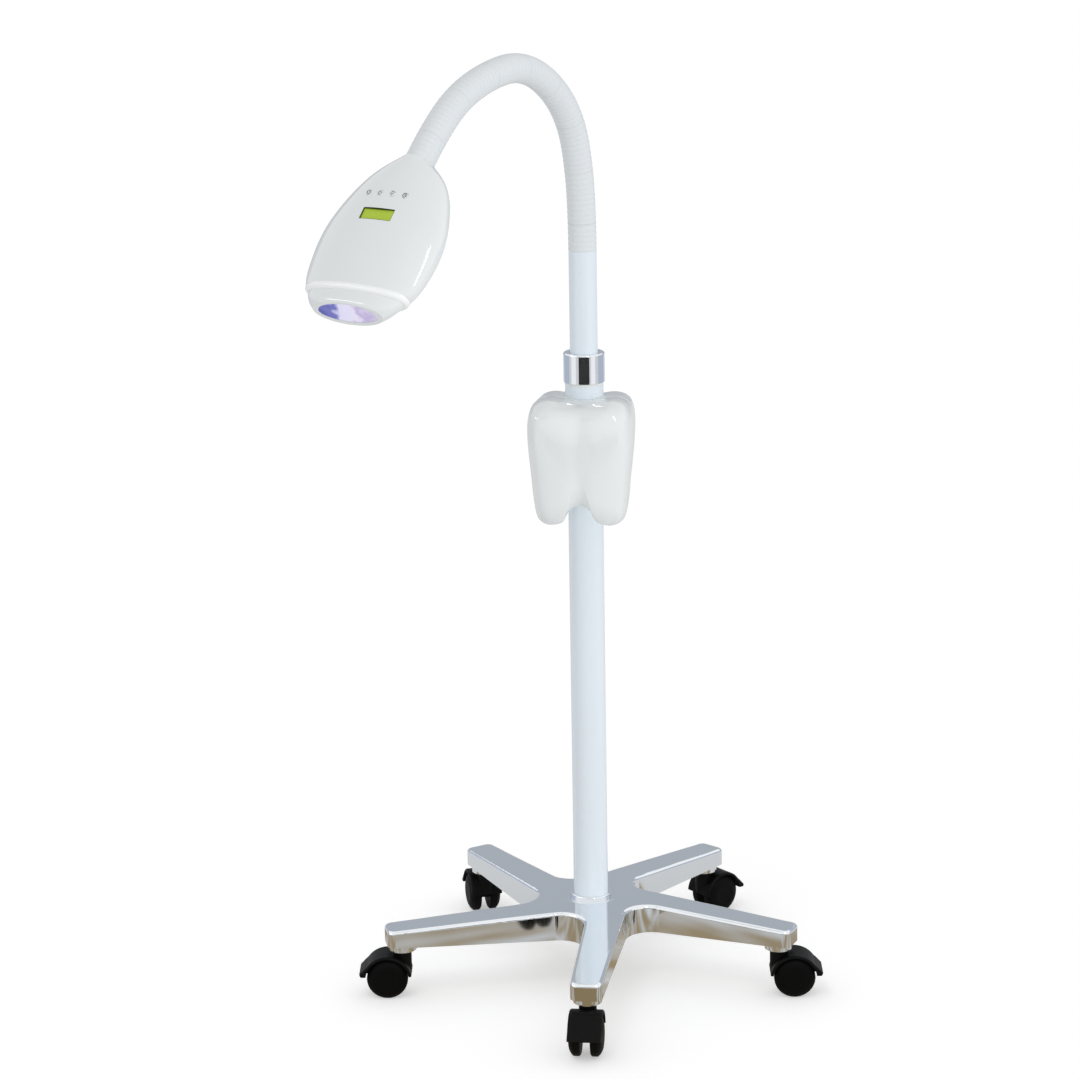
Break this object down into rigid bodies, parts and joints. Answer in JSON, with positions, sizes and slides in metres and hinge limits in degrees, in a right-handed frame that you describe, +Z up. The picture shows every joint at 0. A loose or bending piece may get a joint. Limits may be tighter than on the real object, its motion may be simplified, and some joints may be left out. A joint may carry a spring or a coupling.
{
  "type": "teeth whitening lamp",
  "caption": "Teeth whitening lamp: LED head on a gooseneck, on a column with a molar-shaped control housing and a rolling star base.",
  "frame": {"origin": "on the floor, on the column's axis", "axes": "+Z up along the column, -Y towards the front arm and the housing's front"},
  "size_m": [0.5638, 0.676, 1.1456],
  "materials": {
    "chrome": "polished",
    "white_shell": "gloss",
    "white_paint": "gloss",
    "gooseneck_white": "satin",
    "castor_black": "satin",
    "wheel_black": "satin",
    "steel": "brushed",
    "bearing_white": "matte",
    "window_violet": "clear",
    "lcd_green": "clear",
    "lcd_body": "satin",
    "board_green": "satin",
    "sink_aluminium": "satin",
    "black_plastic": "satin",
    "button_grey": "gloss"
  },
  "bodies": {
    "stand": {"star_base": "chrome", "castor_stems": "steel", "column_tube": "white_paint", "column_bolt": "steel", "foot_ring": "chrome", "column_sleeve": "white_paint", "collar_ring": "chrome", "collar_bush": "bearing_white", "thrust_plug": "bearing_white", "tooth_front_shell": "white_shell", "tooth_rear_shell": "white_shell", "tooth_bracket": "sink_aluminium", "clamp_strap": "steel", "housing_screws": "steel", "power_board": "board_green", "power_inlet": "black_plastic", "switch_frame": "black_plastic"},
    "castor_front_hood": {"castor_front_hood": "castor_black"},
    "castor_front_wheel_a": {"castor_front_wheel_a": "wheel_black"},
    "castor_front_wheel_b": {"castor_front_wheel_b": "wheel_black"},
    "castor_right_hood": {"castor_right_hood": "castor_black"},
    "castor_right_wheel_a": {"castor_right_wheel_a": "wheel_black"},
    "castor_right_wheel_b": {"castor_right_wheel_b": "wheel_black"},
    "castor_rear_right_hood": {"castor_rear_right_hood": "castor_black"},
    "castor_rear_right_wheel_a": {"castor_rear_right_wheel_a": "wheel_black"},
    "castor_rear_right_wheel_b": {"castor_rear_right_wheel_b": "wheel_black"},
    "castor_rear_left_hood": {"castor_rear_left_hood": "castor_black"},
    "castor_rear_left_wheel_a": {"castor_rear_left_wheel_a": "wheel_black"},
    "castor_rear_left_wheel_b": {"castor_rear_left_wheel_b": "wheel_black"},
    "castor_left_hood": {"castor_left_hood": "castor_black"},
    "castor_left_wheel_a": {"castor_left_wheel_a": "wheel_black"},
    "castor_left_wheel_b": {"castor_left_wheel_b": "wheel_black"},
    "arm": {"arm_tube": "white_paint", "arm_circlip": "steel"},
    "gooseneck_1": {"gooseneck_link_1": "gooseneck_white"},
    "gooseneck_2": {"gooseneck_link_2": "gooseneck_white"},
    "gooseneck_3": {"gooseneck_link_3": "gooseneck_white"},
    "gooseneck_4": {"gooseneck_link_4": "gooseneck_white"},
    "gooseneck_5": {"gooseneck_link_5": "gooseneck_white"},
    "gooseneck_6": {"gooseneck_link_6": "gooseneck_white"},
    "gooseneck_7": {"gooseneck_link_7": "gooseneck_white"},
    "head": {"gooseneck_link_8": "gooseneck_white", "head_top_shell": "white_shell", "head_bottom_shell": "white_shell", "head_screws": "steel", "mouth_nozzle": "white_shell", "lens_window": "window_violet", "heat_sink": "sink_aluminium", "led_board": "board_green", "control_board": "board_green", "lcd_module": "lcd_body", "lcd_lens": "lcd_green", "fan_frame": "black_plastic", "neck_clamp": "steel"},
    "button_1": {"button_1": "button_grey"},
    "button_2": {"button_2": "button_grey"},
    "button_3": {"button_3": "button_grey"},
    "button_4": {"button_4": "button_grey"},
    "fan_rotor": {"fan_rotor": "black_plastic"},
    "power_rocker": {"power_rocker": "black_plastic"}
  },
  "joints": [
    {"name": "castor_front_swivel", "type": "hinge", "parent": "stand", "child": "castor_front_hood", "pos_m": [0.01913, -0.239, 0.045], "axis": [0, 0, 1], "continuous": true},
    {"name": "castor_front_wheel_a_roll", "type": "hinge", "parent": "castor_front_hood", "child": "castor_front_wheel_a", "pos_m": [0.01913, -0.258, 0.025], "axis": [-1, 0, 0], "continuous": true},
    {"name": "castor_front_wheel_b_roll", "type": "hinge", "parent": "castor_front_hood", "child": "castor_front_wheel_b", "pos_m": [0.01913, -0.258, 0.025], "axis": [-1, 0, 0], "continuous": true},
    {"name": "castor_right_swivel", "type": "hinge", "parent": "stand", "child": "castor_right_hood", "pos_m": [0.23322, -0.05566, 0.045], "axis": [0, 0, 1], "continuous": true},
    {"name": "castor_right_wheel_a_roll", "type": "hinge", "parent": "castor_right_hood", "child": "castor_right_wheel_a", "pos_m": [0.25211, -0.05367, 0.025], "axis": [0.1045, -0.9945, 0], "continuous": true},
    {"name": "castor_right_wheel_b_roll", "type": "hinge", "parent": "castor_right_hood", "child": "castor_right_wheel_b", "pos_m": [0.25211, -0.05367, 0.025], "axis": [0.1045, -0.9945, 0], "continuous": true},
    {"name": "castor_rear_right_swivel", "type": "hinge", "parent": "stand", "child": "castor_rear_right_hood", "pos_m": [0.125, 0.2046, 0.045], "axis": [0, 0, 1], "continuous": true},
    {"name": "castor_rear_right_wheel_a_roll", "type": "hinge", "parent": "castor_rear_right_hood", "child": "castor_rear_right_wheel_a", "pos_m": [0.13844, 0.21804, 0.025], "axis": [0.7071, -0.7071, 0], "continuous": true},
    {"name": "castor_rear_right_wheel_b_roll", "type": "hinge", "parent": "castor_rear_right_hood", "child": "castor_rear_right_wheel_b", "pos_m": [0.13844, 0.21804, 0.025], "axis": [0.7071, -0.7071, 0], "continuous": true},
    {"name": "castor_rear_left_swivel", "type": "hinge", "parent": "stand", "child": "castor_rear_left_hood", "pos_m": [-0.15596, 0.18211, 0.045], "axis": [0, 0, 1], "continuous": true},
    {"name": "castor_rear_left_wheel_a_roll", "type": "hinge", "parent": "castor_rear_left_hood", "child": "castor_rear_left_wheel_a", "pos_m": [-0.16246, 0.19996, 0.025], "axis": [0.9397, 0.342, 0], "continuous": true},
    {"name": "castor_rear_left_wheel_b_roll", "type": "hinge", "parent": "castor_rear_left_hood", "child": "castor_rear_left_wheel_b", "pos_m": [-0.16246, 0.19996, 0.025], "axis": [0.9397, 0.342, 0], "continuous": true},
    {"name": "castor_left_swivel", "type": "hinge", "parent": "stand", "child": "castor_left_hood", "pos_m": [-0.22139, -0.09205, 0.045], "axis": [0, 0, 1], "continuous": true},
    {"name": "castor_left_wheel_a_roll", "type": "hinge", "parent": "castor_left_hood", "child": "castor_left_wheel_a", "pos_m": [-0.24029, -0.09404, 0.025], "axis": [-0.1045, 0.9945, 0], "continuous": true},
    {"name": "castor_left_wheel_b_roll", "type": "hinge", "parent": "castor_left_hood", "child": "castor_left_wheel_b", "pos_m": [-0.24029, -0.09404, 0.025], "axis": [-0.1045, 0.9945, 0], "continuous": true},
    {"name": "arm_swivel", "type": "hinge", "parent": "stand", "child": "arm", "pos_m": [0, 0, 0.76], "axis": [0, 0, 1], "range_deg": [-170, 170]},
    {"name": "gooseneck_bend_1", "type": "hinge", "parent": "arm", "child": "gooseneck_1", "pos_m": [0, 0, 0.904], "axis": [0.8838, -0.4679, 0], "range_deg": [-8, 5]},
    {"name": "gooseneck_bend_2", "type": "hinge", "parent": "gooseneck_1", "child": "gooseneck_2", "pos_m": [-0.00102, -0.00193, 0.96645], "axis": [0.8838, -0.4679, 0], "range_deg": [-8, 5]},
    {"name": "gooseneck_bend_3", "type": "hinge", "parent": "gooseneck_2", "child": "gooseneck_3", "pos_m": [-0.00584, -0.01103, 1.028], "axis": [0.8838, -0.4679, 0], "range_deg": [-8, 5]},
    {"name": "gooseneck_bend_4", "type": "hinge", "parent": "gooseneck_3", "child": "gooseneck_4", "pos_m": [-0.01988, -0.03754, 1.08212], "axis": [0.8838, -0.4679, 0], "range_deg": [-8, 5]},
    {"name": "gooseneck_bend_5", "type": "hinge", "parent": "gooseneck_4", "child": "gooseneck_5", "pos_m": [-0.04353, -0.08221, 1.11817], "axis": [0.8838, -0.4679, 0], "range_deg": [-8, 5]},
    {"name": "gooseneck_bend_6", "type": "hinge", "parent": "gooseneck_5", "child": "gooseneck_6", "pos_m": [-0.07207, -0.13611, 1.12837], "axis": [0.8838, -0.4679, 0], "range_deg": [-8, 5]},
    {"name": "gooseneck_bend_7", "type": "hinge", "parent": "gooseneck_6", "child": "gooseneck_7", "pos_m": [-0.10066, -0.19012, 1.11594], "axis": [0.8838, -0.4679, 0], "range_deg": [-8, 5]},
    {"name": "gooseneck_bend_8", "type": "hinge", "parent": "gooseneck_7", "child": "head", "pos_m": [-0.12635, -0.23864, 1.08675], "axis": [0.8838, -0.4679, 0], "range_deg": [-8, 5]},
    {"name": "button_1_press", "type": "slide", "parent": "head", "child": "button_1", "axis": [0.3422, 0.6463, -0.682], "range_m": [0, 0.0008], "stiffness_N_per_m": 800, "springref_m": -0.0008},
    {"name": "button_2_press", "type": "slide", "parent": "head", "child": "button_2", "axis": [0.3422, 0.6463, -0.682], "range_m": [0, 0.0008], "stiffness_N_per_m": 800, "springref_m": -0.0008},
    {"name": "button_3_press", "type": "slide", "parent": "head", "child": "button_3", "axis": [0.3422, 0.6463, -0.682], "range_m": [0, 0.0008], "stiffness_N_per_m": 800, "springref_m": -0.0008},
    {"name": "button_4_press", "type": "slide", "parent": "head", "child": "button_4", "axis": [0.3422, 0.6463, -0.682], "range_m": [0, 0.0008], "stiffness_N_per_m": 800, "springref_m": -0.0008},
    {"name": "fan_spin", "type": "hinge", "parent": "head", "child": "fan_rotor", "pos_m": [-0.17014, -0.32135, 0.95765], "axis": [-0.3422, -0.6463, 0.682], "continuous": true},
    {"name": "power_rocker_tilt", "type": "hinge", "parent": "stand", "child": "power_rocker", "pos_m": [-0.038, 0.028, 0.664], "axis": [-1, 0, 0], "range_deg": [0, 16]}
  ]
}
